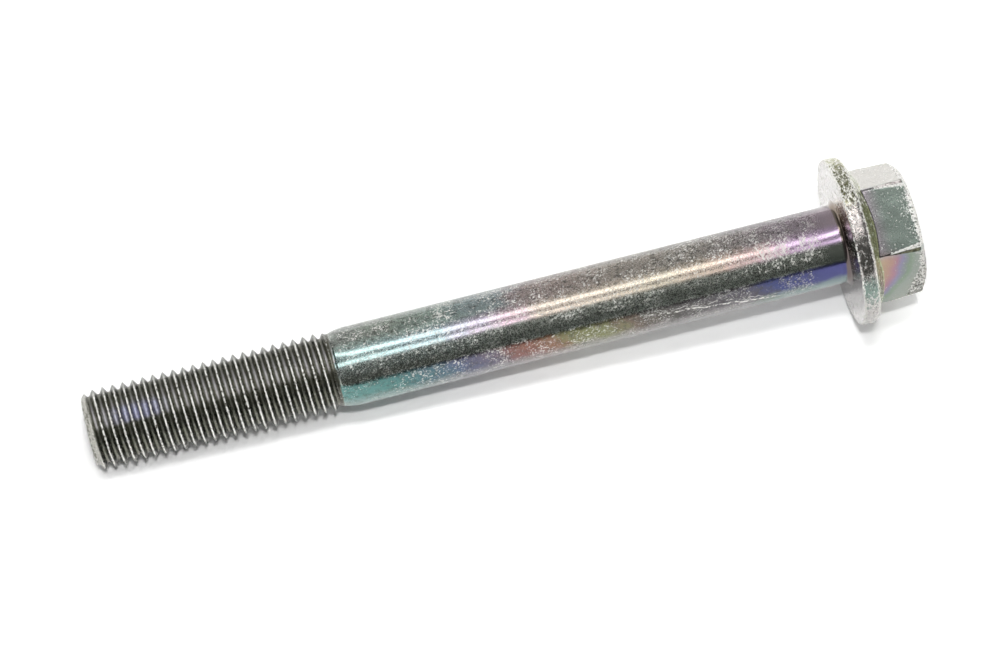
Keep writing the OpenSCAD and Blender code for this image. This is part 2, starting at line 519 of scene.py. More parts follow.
def stretch(tree, vector, factors):
    """A vector with its three parts multiplied by fixed factors."""
    return node(tree, "ShaderNodeVectorMath", {0: vector, 1: factors}, operation="MULTIPLY").outputs[0]


# Film colours along the bolt, as metal reflectances, by height above the head's top in millimetres
TOP_FILM = [(10, (0.47, 0.39, 0.41)), (17, (0.40, 0.35, 0.375)), (25, (0.40, 0.375, 0.38)),
            (33, (0.47, 0.45, 0.41)), (45, (0.52, 0.47, 0.42)), (54, (0.54, 0.45, 0.42)),
            (59, (0.50, 0.43, 0.43)), (62, (0.37, 0.46, 0.46)), (67, (0.37, 0.49, 0.47)),
            (72, (0.39, 0.50, 0.43)), (78, (0.43, 0.48, 0.40)), (87, (0.46, 0.48, 0.44))]
# UPPER_FILM, brighter than TOP_FILM, colours the band that mirrors the strips, so it is partly a painted
# highlight.
UPPER_FILM = [(10, (0.52, 0.40, 0.57)), (19, (0.57, 0.42, 0.57)), (23, (0.62, 0.45, 0.49)),
              (28, (0.64, 0.50, 0.43)), (37, (0.59, 0.53, 0.43)), (56, (0.62, 0.53, 0.46)),
              (61, (0.60, 0.46, 0.52)), (67, (0.52, 0.48, 0.57)), (72, (0.42, 0.52, 0.56)),
              (79, (0.42, 0.56, 0.56)), (87, (0.41, 0.55, 0.53))]
LOWER_FILM = [(10, (0.07, 0.07, 0.18)), (22, (0.07, 0.08, 0.18)), (25, (0.10, 0.095, 0.115)),
              (40, (0.105, 0.10, 0.092)), (44, (0.16, 0.125, 0.10)), (48, (0.20, 0.21, 0.11)),
              (53, (0.20, 0.20, 0.11)), (55, (0.24, 0.15, 0.10)), (58, (0.24, 0.12, 0.095)),
              (61, (0.22, 0.12, 0.11)), (64, (0.16, 0.13, 0.16)), (69, (0.11, 0.13, 0.21)),
              (74, (0.085, 0.16, 0.185)), (79, (0.10, 0.22, 0.21)), (87, (0.13, 0.27, 0.255))]
BARE = (0.74, 0.73, 0.69)
SOOT = (0.07, 0.072, 0.06)


def metal_base(name):
    """A metal surface to be dressed, with its coordinates and its height in millimetres."""
    material = bpy.data.materials.new(name)
    material.use_nodes = True
    tree = material.node_tree
    shader = tree.nodes["Principled BSDF"]
    shader.inputs["Metallic"].default_value = 1.0
    spot = node(tree, "ShaderNodeTexCoord").outputs["Object"]
    place = node(tree, "ShaderNodeVectorMath", {0: spot, "Scale": 1 / MM}, operation="SCALE").outputs[0]
    z = node(tree, "ShaderNodeSeparateXYZ", {0: place}).outputs["Z"]
    return material, tree, shader, place, z


def facing(tree, place, direction):
    """How far a point lies round towards a direction, from -1 to 1: a dot product on the unit circle."""
    flat = stretch(tree, place, (1, 1, 0))
    unit = node(tree, "ShaderNodeVectorMath", {0: flat}, operation="NORMALIZE").outputs[0]
    return along(tree, unit, direction)


def along(tree, vector, direction):
    """Dot product of a vector and a fixed direction."""
    return node(tree, "ShaderNodeVectorMath", {0: vector, 1: tuple(direction)},
                operation="DOT_PRODUCT").outputs["Value"]


def flecks(tree, vector, scale, size, density):
    """Separate specks of random size and brightness about scattered points, larger where it is denser."""
    cells = node(tree, "ShaderNodeTexVoronoi", {"Vector": vector, "Scale": scale}).outputs
    chance, shine = node(tree, "ShaderNodeSeparateXYZ", {0: cells["Color"]}).outputs[:2]
    reach = calc(tree, "MULTIPLY", calc(tree, "MULTIPLY", chance, density), size)
    spot = band(tree, calc(tree, "SUBTRACT", reach, cells["Distance"]), 0.0, 0.14)
    return calc(tree, "MULTIPLY", spot, band(tree, shine, 0.0, 1.0, 0.2, 1.0))


def scuffs(tree, place, amount):
    """Share of scuffed metal: specks and short strokes slanted both ways, in clusters."""
    slant = node(tree, "ShaderNodeMapping", {"Vector": place, "Rotation": (0.0, 0.5, 0.35)}).outputs[0]
    cross = node(tree, "ShaderNodeMapping", {"Vector": place, "Rotation": (0.3, -1.15, 0.1)}).outputs[0]
    bent = noise(tree, place, 0.34, 5.0, 0.7)
    density = calc(tree, "MULTIPLY", band(tree, bent, 0.36, 0.66, 0.42, 1.0), amount)
    specks = flecks(tree, place, 3.9, 0.70, density)
    strokes = flecks(tree, stretch(tree, slant, (5.0, 5.0, 1.5)), 1.0, 0.70, density)
    counter = flecks(tree, stretch(tree, cross, (4.8, 4.8, 1.8)), 1.0, 0.60, density)
    return calc(tree, "MAXIMUM", calc(tree, "MAXIMUM", specks, strokes), counter)


def dress(tree, shader, colour, roughness, height, strength, distance, scatter):
    """Joins colour, roughness and fine relief to the metal; scuffs scatter light as a dull coat would."""
    tree.links.new(colour, shader.inputs["Base Color"])
    tree.links.new(roughness, shader.inputs["Roughness"])
    relief = node(tree, "ShaderNodeBump",
                  {"Strength": strength, "Distance": distance * MM, "Height": height})
    tree.links.new(relief.outputs[0], shader.inputs["Normal"])
    tree.links.new(calc(tree, "MULTIPLY_ADD", scatter, -0.6, 1.0), shader.inputs["Metallic"])


def film_on_shank(tree, place, z, round_place):
    """Film colour of the shank, in bands round it: dull rainbow, bright, dark neutral, deep and pale. The
    bands follow the sides that mirror the strips and the room, so they are partly painted reflection, and
    the fillet's dark is painted shade.
    """
    low, high = UPPER_FILM[0][0], UPPER_FILM[-1][0]

    def film(stops, height):
        share = calc(tree, "DIVIDE", calc(tree, "SUBTRACT", height, low), high - low, clamp=True)
        return ramp(tree, share, [((stop - low) / (high - low), colour) for stop, colour in stops])

    wobble = calc(tree, "SUBTRACT", noise(tree, place, 0.30, 4.0, 0.65), 0.5)
    ragged = calc(tree, "SUBTRACT", noise(tree, place, 0.9, 3.0, 0.6), 0.5)
    bent = calc(tree, "MULTIPLY_ADD", wobble, 0.2, round_place)
    shifted = calc(tree, "MULTIPLY_ADD", wobble, 12.0, z)
    below = calc(tree, "SUBTRACT", along(tree, place, IMAGE_DOWN), 4.0)
    slanted = calc(tree, "MULTIPLY_ADD", below, 1.2, z)
    slanted = calc(tree, "MULTIPLY_ADD", wobble, 6.0, calc(tree, "MULTIPLY_ADD", ragged, 5.0, slanted))
    dull = film(TOP_FILM, calc(tree, "MULTIPLY_ADD", ragged, 9.0, shifted))
    # A mint patch on the upper side towards the thread: a painted sheen over the film.
    mint_sheen = calc(tree, "MULTIPLY", band(tree, bent, -0.66, -0.48),
                band(tree, shifted, 62.0, 74.0, 0.0, 0.8))
    dull = blend(tree, mint_sheen, dull, (0.62, 0.78, 0.70))
    # The band that mirrors the strips takes the brighter UPPER_FILM: film colour that is partly a painted
    # highlight.
    colour = blend(tree, band(tree, bent, -0.36, -0.55, 0.0, 0.85), film(UPPER_FILM, shifted), dull)
    # Darker grey towards the upper silhouette: painted shade.
    colour = blend(tree, band(tree, round_place, -0.82, -0.93, 0.0, 0.6), colour, (0.19, 0.19, 0.185))
    dark = blend(tree, band(tree, z, 58, 75), (0.54, 0.57, 0.51), (0.70, 0.78, 0.74))
    dark = blend(tree, band(tree, bent, 0.14, 0.36), dark, (0.35, 0.38, 0.34))
    colour = blend(tree, band(tree, bent, -0.08, 0.06), colour, dark)
    colour = blend(tree, band(tree, calc(tree, "MULTIPLY_ADD", ragged, 0.1, round_place), 0.41, 0.48),
                   colour, film(LOWER_FILM, slanted))
    # A paler grey-teal edge along the lower silhouette: painted reflection.
    edge = blend(tree, band(tree, z, 22, 27), (0.22, 0.29, 0.25), (0.29, 0.28, 0.28))
    edge = blend(tree, band(tree, z, 68, 80), edge, (0.28, 0.35, 0.335))
    colour = blend(tree, band(tree, bent, 0.76, 0.92, 0.0, 0.75), colour, edge)
    # Dark brown on the fillet under the head: painted shade in the crease.
    fillet = blend(tree, band(tree, round_place, -0.3, 0.1), (0.25, 0.205, 0.165), (0.14, 0.115, 0.11))
    return blend(tree, band(tree, z, 11.5, 11.1), colour, fillet)


def shank_finish():
    """Zinc plate with a rainbow film, dulled by specks, strokes, bold knocks and one long scratch."""
    material, tree, shader, place, z = metal_base("plated_shank")
    round_place = facing(tree, place, IMAGE_DOWN)
    film = film_on_shank(tree, place, z, round_place)
    mottled = noise(tree, stretch(tree, place, (1, 1, 0.7)), 1.8, 5.0, 0.75)
    # streak is the band between the two strip highlights; the real soot is thinned there, so that band
    # stays cleaner and brighter: partly a painted highlight.
    streak = band(tree, calc(tree, "ABSOLUTE", calc(tree, "ADD", round_place, 0.2)), 0.24, 0.12)
    under = band(tree, round_place, 0.38, 0.50)
    used = band(tree, calc(tree, "MULTIPLY_ADD", under, -2.0, z), 12.6, 15.2)
    # bold is the band that mirrors the back strip: soot there is deeper, marks denser, and the marks' bare
    # colour lighter, partly a painted highlight on real scuffs.
    bold = band(tree, round_place, -0.30, -0.42)
    dim = calc(tree, "MULTIPLY", band(tree, mottled, 0.46, 0.66),
               calc(tree, "MULTIPLY_ADD", streak, -0.35, 0.6))
    dim = calc(tree, "MULTIPLY_ADD", calc(tree, "MULTIPLY", dim, bold), 0.25, dim)
    film = blend(tree, calc(tree, "MULTIPLY", dim, used), film, SOOT)
    clean = calc(tree, "MULTIPLY", band(tree, z, 20.8, 22.0), band(tree, z, 26.5, 25.0))
    spared = calc(tree, "MAXIMUM", band(tree, z, 78.0, 81.0, 0.0, 0.3),
                  calc(tree, "MULTIPLY", clean, 0.55))
    amount = calc(tree, "SUBTRACT", used, calc(tree, "MULTIPLY", spared, under))
    faint = calc(tree, "SUBTRACT", band(tree, round_place, 0.08, 0.36), under, clamp=True)
    faint = calc(tree, "MULTIPLY", faint, band(tree, z, 38.0, 28.0, 1.0, 1.6))
    marks = calc(tree, "MULTIPLY", scuffs(tree, place, amount),
                 calc(tree, "MULTIPLY_ADD", faint, -0.45, 0.8))
    fewer = band(tree, z, 42.0, 52.0, -0.35, 0.0)
    marks = calc(tree, "MULTIPLY", marks, calc(tree, "MULTIPLY_ADD", under, fewer, 1.0))
    knocked = calc(tree, "MULTIPLY", band(tree, z, 13.4, 15.5), band(tree, z, 27.0, 22.0))
    knocked = calc(tree, "MULTIPLY", knocked, band(tree, round_place, 0.40, 0.16))
    knocked = calc(tree, "MULTIPLY", knocked, band(tree, round_place, -0.62, -0.34))
    marks = calc(tree, "MAXIMUM", marks, gouges(tree, place, knocked))
    marks = calc(tree, "MAXIMUM", marks, long_scratch(tree, place, z))
    extra = calc(tree, "MULTIPLY", bold, band(tree, z, 17.0, 30.0, -0.25, 0.3))
    marks = calc(tree, "MULTIPLY_ADD", marks, extra, marks, clamp=True)
    colour = blend(tree, marks, film, blend(tree, bold, BARE, (0.80, 0.785, 0.75)))
    haze = calc(tree, "MULTIPLY", band(tree, z, 75.0, 52.0, 0.17, 0.30),
                calc(tree, "MULTIPLY_ADD", used, 0.6, 0.4))
    dust = noise(tree, place, 9.0, 2.0, 0.6)
    base = calc(tree, "MULTIPLY_ADD", band(tree, dust, 0.40, 0.60), haze, 0.11)
    roughness = calc(tree, "MULTIPLY_ADD", marks, 0.30, base)
    fine = noise(tree, stretch(tree, place, (1, 1, 0.6)), 6.5, 2.0, 0.6)
    height = calc(tree, "MULTIPLY_ADD", marks, 0.6, fine)
    dress(tree, shader, colour, roughness, height, 0.22, 0.02, marks)
    return material


def gouges(tree, place, amount):
    """Bold strokes that run round the shank more than along it, in loose groups."""
    turned = node(tree, "ShaderNodeMapping", {"Vector": place, "Rotation": (0.1, -1.3, 0.2)}).outputs[0]
    steep = node(tree, "ShaderNodeMapping", {"Vector": place, "Rotation": (-0.1, 0.75, 0.0)}).outputs[0]
    density = calc(tree, "MULTIPLY", band(tree, noise(tree, place, 0.6, 3.0, 0.6), 0.36, 0.54), amount)
    first = flecks(tree, stretch(tree, turned, (4.6, 4.6, 0.8)), 1.0, 0.94, density)
    second = flecks(tree, stretch(tree, steep, (4.4, 4.4, 0.9)), 1.0, 0.84, density)
    return calc(tree, "MULTIPLY", calc(tree, "MAXIMUM", first, second), 0.9)


def long_scratch(tree, place, z):
    """One wavering scratch along the side that looks down, near the head."""
    across = along(tree, place, IMAGE_DOWN)
    waver = noise(tree, stretch(tree, place, (0, 0, 1)), 0.18, 4.0, 0.6)
    other = noise(tree, stretch(tree, place, (0, 0, -1)), 0.28, 4.0, 0.6)
    sloped = calc(tree, "MULTIPLY_ADD", z, 0.09, across)
    offset = calc(tree, "SUBTRACT", sloped, calc(tree, "MULTIPLY_ADD", waver, 2.0, 6.2))
    second = calc(tree, "ADD", offset, calc(tree, "MULTIPLY_ADD", other, 2.0, -0.6))
    line = calc(tree, "MAXIMUM", band(tree, calc(tree, "ABSOLUTE", offset), 0.15, 0.03),
                band(tree, calc(tree, "ABSOLUTE", second), 0.10, 0.02, 0.0, 0.6))
    near = calc(tree, "GREATER_THAN", facing(tree, place, TO_CAMERA), 0.0)
    span = calc(tree, "MULTIPLY", band(tree, z, 20.0, 24.0), band(tree, z, 45.0, 38.0))
    broken = band(tree, noise(tree, place, 1.5, 5.0, 0.75), 0.42, 0.55)
    shown = calc(tree, "MULTIPLY", span, broken)
    return calc(tree, "MULTIPLY", calc(tree, "MULTIPLY", line, near), shown)


def thread_finish():
    """Dark flanks, bare crests rubbed bright, and a blue film near the tip, shown only where the strips
    are mirrored. Painted light and shade by side: the crests fade and the flanks darken towards the edges,
    and the hollows are brighter on the band that mirrors the strips.
    """
    material, tree, shader, place, z = metal_base("rolled_thread")
    crest = node(tree, "ShaderNodeAttribute", attribute_name="wear").outputs["Fac"]
    speck = noise(tree, place, 3.4, 4.0, 0.7)
    uneven = calc(tree, "MULTIPLY_ADD", calc(tree, "SUBTRACT", speck, 0.5), 1.4, crest)
    round_place = facing(tree, place, IMAGE_DOWN)
    # The crests are bare metal; their brightness fading towards the upper and lower silhouettes is painted
    # shade.
    top = calc(tree, "MULTIPLY", band(tree, uneven, 0.80, 1.0),
               band(tree, round_place, -1.0, -0.78, 0.25, 1.0))
    top = calc(tree, "MULTIPLY", top, band(tree, round_place, 0.99, 0.90, 0.15, 1.0))
    root = band(tree, crest, 0.12, 0.02)
    # lit is the band that mirrors the strips: the blue there is a film tint painted only where it would
    # glint, and the hollows are painted brighter there, a painted highlight.
    lit = calc(tree, "MULTIPLY", band(tree, round_place, 0.08, -0.10),
               band(tree, round_place, -0.88, -0.50))
    near_tip = calc(tree, "MULTIPLY", band(tree, z, 111, 115), band(tree, z, 122.5, 117.5))
    blue_film_and_glint = calc(tree, "MULTIPLY", near_tip, lit)
    blue_film_and_glint = calc(tree, "MULTIPLY", blue_film_and_glint, band(tree, round_place, -0.62, -0.36))
    blue_film_and_glint = calc(tree, "MULTIPLY", blue_film_and_glint, band(tree, speck, 0.60, 0.42, 0.5, 1.0))
    # Flanks are painted darker towards the upper and lower silhouettes: painted shade.
    outer = calc(tree, "MAXIMUM", band(tree, round_place, 0.22, 0.45),
                 band(tree, round_place, -0.70, -0.88))
    flank = blend(tree, outer, (0.28, 0.28, 0.23), (0.10, 0.10, 0.085))
    flank = blend(tree, blue_film_and_glint, flank, (0.34, 0.335, 0.43))
    # Hollows painted pale on the mirrored band: painted highlight.
    hollow = blend(tree, lit, (0.24, 0.24, 0.20), (0.60, 0.58, 0.61))
    hollow = blend(tree, blue_film_and_glint, hollow, (0.66, 0.68, 0.90))
    flank = blend(tree, calc(tree, "MULTIPLY", root, 0.8), flank, hollow)
    colour = blend(tree, top, flank, (0.94, 0.93, 0.89))
    end = band(tree, z, TIP_Z - 1.2, TIP_Z - 0.9)
    rough_end = blend(tree, band(tree, speck, 0.42, 0.60), (0.66, 0.65, 0.60), (0.12, 0.12, 0.09))
    colour = blend(tree, calc(tree, "MULTIPLY", end, 0.85), colour, rough_end)
    dots = flecks(tree, place, 3.6, 0.6, 1.0)
    colour = blend(tree, calc(tree, "MULTIPLY", dots, 0.35), colour, BARE)
    colour = blend(tree, band(tree, speck, 0.53, 0.70, 0.0, 0.6), colour, SOOT)
    rough_root = calc(tree, "MULTIPLY_ADD", root, 0.12, band(tree, speck, 0.3, 0.7, 0.24, 0.36))
    roughness = calc(tree, "MULTIPLY_ADD", top, 0.2, rough_root)
    scatter = calc(tree, "MAXIMUM", top, calc(tree, "MULTIPLY", end, 0.8))
    dress(tree, shader, colour, roughness, speck, 0.35, 0.02, scatter)
    return material


def flange_finish():
    """Dark glossy film on the rim, with a painted rosy highlight and a painted dark band, edges worn white
    in patches and painted darker below, and a painted dark reflection of the shank on one side of the
    bearing face.
    """
    material, tree, shader, place, z = metal_base("battered_flange")
    worn = node(tree, "ShaderNodeAttribute", attribute_name="wear").outputs["Fac"]
    across = along(tree, place, IMAGE_DOWN)
    drawn = stretch(tree, place, (1, 1, 2.2))
    pit = noise(tree, drawn, 1.2, 5.0, 0.75)
    fine = noise(tree, drawn, 3.4, 4.0, 0.7)
    jagged = calc(tree, "SUBTRACT", pit, 0.5)
    upper = band(tree, across, -3.5, -6.0)
    lower = band(tree, across, 6.6, 9.2)
    middle = calc(tree, "MULTIPLY", band(tree, across, -6.0, -4.4), band(tree, across, 0.6, -0.8))
    broken = calc(tree, "MULTIPLY_ADD", jagged, 4.4, calc(tree, "MULTIPLY", worn, 0.72))
    broken = calc(tree, "MULTIPLY_ADD", calc(tree, "SUBTRACT", fine, 0.5), 3.6, broken)
    broken = calc(tree, "MULTIPLY_ADD", upper, 0.50, calc(tree, "MULTIPLY_ADD", lower, 0.36, broken))
    rubbed = band(tree, broken, 0.45, 0.80)
    wander = calc(tree, "MULTIPLY_ADD", jagged, 9.0, across)
    film = blend(tree, band(tree, wander, -2.5, -5.5), (0.56, 0.52, 0.50), (0.37, 0.37, 0.22))
    # A rosy patch in the middle of the rim is a painted highlight of the strips, and the dark teal band
    # below it a painted dark reflection.
    rosy_highlight = calc(tree, "MULTIPLY", middle, band(tree, pit, 0.62, 0.44))
    film = blend(tree, rosy_highlight, film, (0.84, 0.77, 0.75))
    film = blend(tree, band(tree, wander, 5.0, 7.0), film, (0.17, 0.23, 0.205))
    film = blend(tree, band(tree, wander, 8.5, 10.5), film, (0.40, 0.38, 0.37))
    soot = calc(tree, "MULTIPLY", band(tree, fine, 0.5, 0.68, 0.0, 0.75),
                calc(tree, "MULTIPLY_ADD", middle, -0.8, 1.0))
    film = blend(tree, soot, film, SOOT)
    back = band(tree, z, RIM_Z - 0.05, RIM_Z - 0.25)
    film = blend(tree, back, film, (0.42, 0.45, 0.25))
    # Rubbed metal is painted darker low on the rim: painted shade.
    colour = blend(tree, rubbed, film, blend(tree, lower, (0.88, 0.87, 0.83), (0.58, 0.57, 0.54)))
    dots = band(tree, noise(tree, place, 4.0, 4.0, 0.75), 0.53, 0.64, 0.0, 0.8)
    colour = blend(tree, dots, colour, SOOT)
    face = band(tree, z, BEARING_Z - 0.2, BEARING_Z - 0.02)
    # On the near side of the bearing face by the shank, a painted dark reflection of the shank: brown
    # above, near black lower down.
    aside = calc(tree, "MULTIPLY_ADD", jagged, 2.5, calc(tree, "ABSOLUTE", across))
    shank_reflection = calc(tree, "MULTIPLY", band(tree, aside, 6.6, 5.4),
                  band(tree, facing(tree, place, TO_CAMERA), 0.0, 0.3))
    dark_reflection_tone = blend(tree, band(tree, across, -3.6, 0.2), (0.46, 0.35, 0.25), (0.10, 0.085, 0.075))
    plate = blend(tree, shank_reflection, (0.56, 0.535, 0.53), dark_reflection_tone)
    covered = calc(tree, "MULTIPLY", face, calc(tree, "SUBTRACT", 1.0, rubbed))
    colour = blend(tree, covered, colour, plate)
    roughness = band(tree, calc(tree, "MULTIPLY_ADD", rubbed, 0.5, fine), 0.35, 1.1, 0.10, 0.46)
    relief = calc(tree, "MULTIPLY_ADD", pit, 2.0, fine)
    scatter = calc(tree, "MAXIMUM", rubbed, calc(tree, "MULTIPLY", back, 0.8))
    dress(tree, shader, colour, roughness, relief, 0.6, 0.03, scatter)
    return material


def hex_finish():
    """Plated hexagon: a pale face, a grey one, and one with a rainbow away from the flange, by side; the
    pale and grey tones are partly painted light.

    Edges are rubbed bare, and the corner below the rainbow is battered and pitted. Bare metal is painted
    darker on the rainbow face, and each corner's two halves are painted light and dark: painted highlight
    and shade.
    """
    material, tree, shader, place, z = metal_base("plated_hexagon")
    worn = node(tree, "ShaderNodeAttribute", attribute_name="wear").outputs["Fac"]
    across = along(tree, place, IMAGE_DOWN)
    wobble = calc(tree, "SUBTRACT", noise(tree, place, 0.35, 2.0, 0.5), 0.5)
    depth = calc(tree, "SUBTRACT", RIM_Z, z)
    down = calc(tree, "SUBTRACT", across, 3.8)
    bend = calc(tree, "MULTIPLY", down, calc(tree, "MULTIPLY_ADD", down, 0.150, -0.120))
    order = calc(tree, "ADD", depth, calc(tree, "MULTIPLY_ADD", wobble, 1.8, bend))
    rainbow = ramp(tree, calc(tree, "DIVIDE", order, 10.0, clamp=True), [
        (0.0, (0.28, 0.27, 0.20)), (0.17, (0.30, 0.22, 0.155)), (0.27, (0.285, 0.185, 0.155)),
        (0.36, (0.26, 0.155, 0.19)), (0.46, (0.19, 0.175, 0.25)), (0.57, (0.165, 0.215, 0.16)),
        (0.66, (0.215, 0.24, 0.215)), (1.0, (0.25, 0.26, 0.235))])
    grey = blend(tree, band(tree, depth, 1.4, 4.0), (0.29, 0.265, 0.285), (0.225, 0.27, 0.24))
    # The pale face, turned from the table, is lighter than the grey one facing the camera: partly painted
    # light.
    pale = band(tree, facing(tree, place, -IMAGE_DOWN), 0.62, 0.72)
    deep = band(tree, facing(tree, place, IMAGE_DOWN), 0.25, 0.45)
    film = blend(tree, pale, blend(tree, deep, grey, rainbow), (0.465, 0.45, 0.42))
    speck = noise(tree, place, 2.6, 5.0, 0.75)
    film = blend(tree, band(tree, speck, 0.48, 0.75, 0.0, 0.45), film, SOOT)
    reach = calc(tree, "MAXIMUM", band(tree, depth, 4.5, 7.0), band(tree, across, -4.4, -6.0))
    rubbed = scuffs(tree, place, calc(tree, "MULTIPLY_ADD", reach, 1.05, -0.12, clamp=True))
    beyond = calc(tree, "MULTIPLY_ADD", z, -1.53, across)
    battered = calc(tree, "MULTIPLY", deep, band(tree, beyond, 4.0, 5.0))
    uneven = calc(tree, "MULTIPLY", calc(tree, "SUBTRACT", speck, 0.5), 3.0)
    rubbing = calc(tree, "MULTIPLY_ADD", battered, 0.5, worn)
    edges = band(tree, calc(tree, "ADD", rubbing, uneven), 0.30, 0.55)
    bare = calc(tree, "MAXIMUM", rubbed, edges)
    # Bare metal is painted darker on the rainbow face, which turns to the table: painted shade.
    colour = blend(tree, bare, film, blend(tree, deep, (0.90, 0.89, 0.86), (0.60, 0.59, 0.56)))
    pitted = noise(tree, place, 3.3, 4.0, 0.7)
    edge_pits = calc(tree, "MULTIPLY", band(tree, worn, 0.1, 0.5), band(tree, pitted, 0.51, 0.64))
    corner_pits = calc(tree, "MULTIPLY", battered, band(tree, pitted, 0.46, 0.58))
    pits = calc(tree, "MAXIMUM", edge_pits, corner_pits)
    # Corner halves marked below 0 are painted dark, or pale and mottled on the upper side: painted shade
    # and highlight on the trimmed corner facets.
    ragged = noise(tree, place, 2.2, 4.0, 0.7)
    dark = blend(tree, band(tree, ragged, 0.42, 0.58), (0.26, 0.26, 0.17), (0.05, 0.05, 0.035))
    light = blend(tree, band(tree, ragged, 0.46, 0.60), (0.86, 0.81, 0.79), (0.30, 0.26, 0.25))
    corner_light_and_shade = band(tree, worn, -0.25, -0.55)
    colour = blend(tree, pits, colour, SOOT)
    colour = blend(tree, corner_light_and_shade, colour, blend(tree, band(tree, across, -3.0, -5.0), dark, light))
    roughness = calc(tree, "MULTIPLY_ADD", bare, 0.20, band(tree, deep, 0.0, 1.0, 0.21, 0.18))
    fine = noise(tree, place, 4.0, 3.0, 0.6)
    height = calc(tree, "MULTIPLY_ADD", bare, 0.6, fine)
    dress(tree, shader, colour, roughness, height, 0.4, 0.025, calc(tree, "MAXIMUM", bare, corner_light_and_shade))
    return material


# Bolt

def make_bolt():
    """The one visible piece: the skin, its four finishes by place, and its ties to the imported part."""
    points, wear, quads, triangles = bolt_mesh()
    bolt = build_mesh("plated_bolt", points, quads, triangles, {"wear": wear})
    for finish in (shank_finish, thread_finish, flange_finish, hex_finish):
        bolt.data.materials.append(finish())
    middle = np.empty(len(bolt.data.polygons) * 3, dtype=np.float32)
    bolt.data.polygons.foreach_get("center", middle)
    middle = middle.reshape(-1, 3) / MM
    radius = np.hypot(middle[:, 0], middle[:, 1])
    z = middle[:, 2]
    part = np.zeros(len(z), dtype=np.int32)
    part[z > NECK_Z - 0.1] = 1
    part[(z < BEARING_Z + 0.02) & (radius > SHANK_R + HEAD_FILLET * 0.4)] = 2
    back = RIM_Z - (FLANGE_R - radius) * math.tan(FLANGE_SLOPE)
    part[(z < back - 0.12) & (z < RIM_Z)] = 3
    bolt.data.polygons.foreach_set("material_index", part)
    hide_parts("bolt")
    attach(bolt, "root")


# Stage

# Half widths in metres, whiteness, and glow by height in millimetres
FLOOR_HALF = 2.0
BOARD_HALF = 0.8
FLOOR_WHITE = 0.85
BOARD_WHITE = 0.88
GLOW_TOP = 100
FLOOR_GLOW = [(0, 0.7)]
# The board's glow is strongest by the floor, where it lifts the head's shadow, and fades towards the tip:
# painted light on the board.
BOARD_GLOW = [(0, 0.45), (7, 0.14), (45, 0.10), (80, 0.0)]
# How far below the tip the board touches the thread
TOUCH_BELOW_TIP = 1.8


def stage_material(name, albedo, glows):
    """White that keeps shadows: diffuse, plus a glow for what the camera and the metal see of it.

    The glow follows the height above the floor, by (millimetres, strength) stops up to GLOW_TOP. Seen
    from its back the sheet is clear, so that it hides nothing from the other side.
    """
    material = bpy.data.materials.new(name)
    material.use_nodes = True
    tree = material.node_tree
    tree.nodes.clear()
    path = node(tree, "ShaderNodeLightPath").outputs
    seen = calc(tree, "MAXIMUM", path["Is Camera Ray"], path["Is Glossy Ray"])
    seen = calc(tree, "MAXIMUM", seen, path["Is Transmission Ray"])
    spot = node(tree, "ShaderNodeTexCoord").outputs["Object"]
    share = calc(tree, "DIVIDE", along(tree, spot, AXIS), GLOW_TOP * MM, clamp=True)
    glow = ramp(tree, share, [(height / GLOW_TOP, (strength,) * 3) for height, strength in glows])
    diffuse = node(tree, "ShaderNodeBsdfDiffuse", {"Color": (albedo, albedo, albedo, 1)}).outputs[0]
    light = node(tree, "ShaderNodeEmission", {"Color": glow, "Strength": seen}).outputs[0]
    front = node(tree, "ShaderNodeAddShader", {0: diffuse, 1: light}).outputs[0]
    clear = node(tree, "ShaderNodeBsdfTransparent").outputs[0]
    back = node(tree, "ShaderNodeNewGeometry").outputs["Backfacing"]
    both = node(tree, "ShaderNodeMixShader", {0: back, 1: front, 2: clear}).outputs[0]
    node(tree, "ShaderNodeOutputMaterial", {"Surface": both})
    return material


def sheet(name, centre, side, up, half, material):
    """A flat square stage sheet, its front on the side of the cross product of side and up."""
    centre, side, up = (np.asarray(v, dtype=float) for v in (centre, side, up))
    side, up = half * side, half * up
    corners = [centre - side - up, centre + side - up, centre + side + up, centre - side + up]
    mesh = bpy.data.meshes.new(name)
    mesh.from_pydata([tuple(c) for c in corners], [], [(0, 1, 2, 3)])
    mesh.update()
    made = bpy.data.objects.new(name, mesh)
    made.data.materials.append(material)
    bpy.context.scene.collection.objects.link(made)
    return made


def make_stage():
    """Floor under the head, and a board that leans on the flange and the thread tip behind the bolt."""
    pale_floor = stage_material("pale_floor", FLOOR_WHITE, FLOOR_GLOW)
    floor = sheet("floor", (0, 0, 0), (1, 0, 0), (0, 1, 0), FLOOR_HALF, pale_floor)
    floor.visible_glossy = False
    floor.visible_shadow = False
    rim_touch = -TABLE_UP * FLANGE_R * MM + AXIS * (RIM_Z + RIM_H / 2) * MM
    tip_touch = -TABLE_UP * CREST_R * MM + AXIS * (TIP_Z - TOUCH_BELOW_TIP) * MM
    lean = (tip_touch - rim_touch) / np.linalg.norm(tip_touch - rim_touch)
    pale_board = stage_material("pale_board", BOARD_WHITE, BOARD_GLOW)
    sheet("board", (rim_touch + tip_touch) / 2, -TABLE_FRONT, lean, BOARD_HALF, pale_board)


# Light

def lamp(name, direction, distance, target_z, size_along, size_across, radiance, lean=0.0):
    """An area lamp that faces the bolt's axis at that height, its long side along the axis or leaning."""
    direction = np.asarray(direction) / np.linalg.norm(direction)
    data = bpy.data.lights.new(name, "AREA")
    data.shape = "RECTANGLE"
    data.size = size_across
    data.size_y = size_along
    data.energy = radiance * math.pi * size_along * size_across
    made = bpy.data.objects.new(name, data)
    back = Vector(direction)
    side = Vector(AXIS).cross(back).normalized()
    up = back.cross(side)
    turned = Matrix((side, up, back)).transposed().to_4x4() @ Matrix.Rotation(lean, 4, "Z")
    turned.translation = Vector(direction * distance) + Vector((0, 0, target_z))
    made.matrix_world = turned
    bpy.context.scene.collection.objects.link(made)
    return made


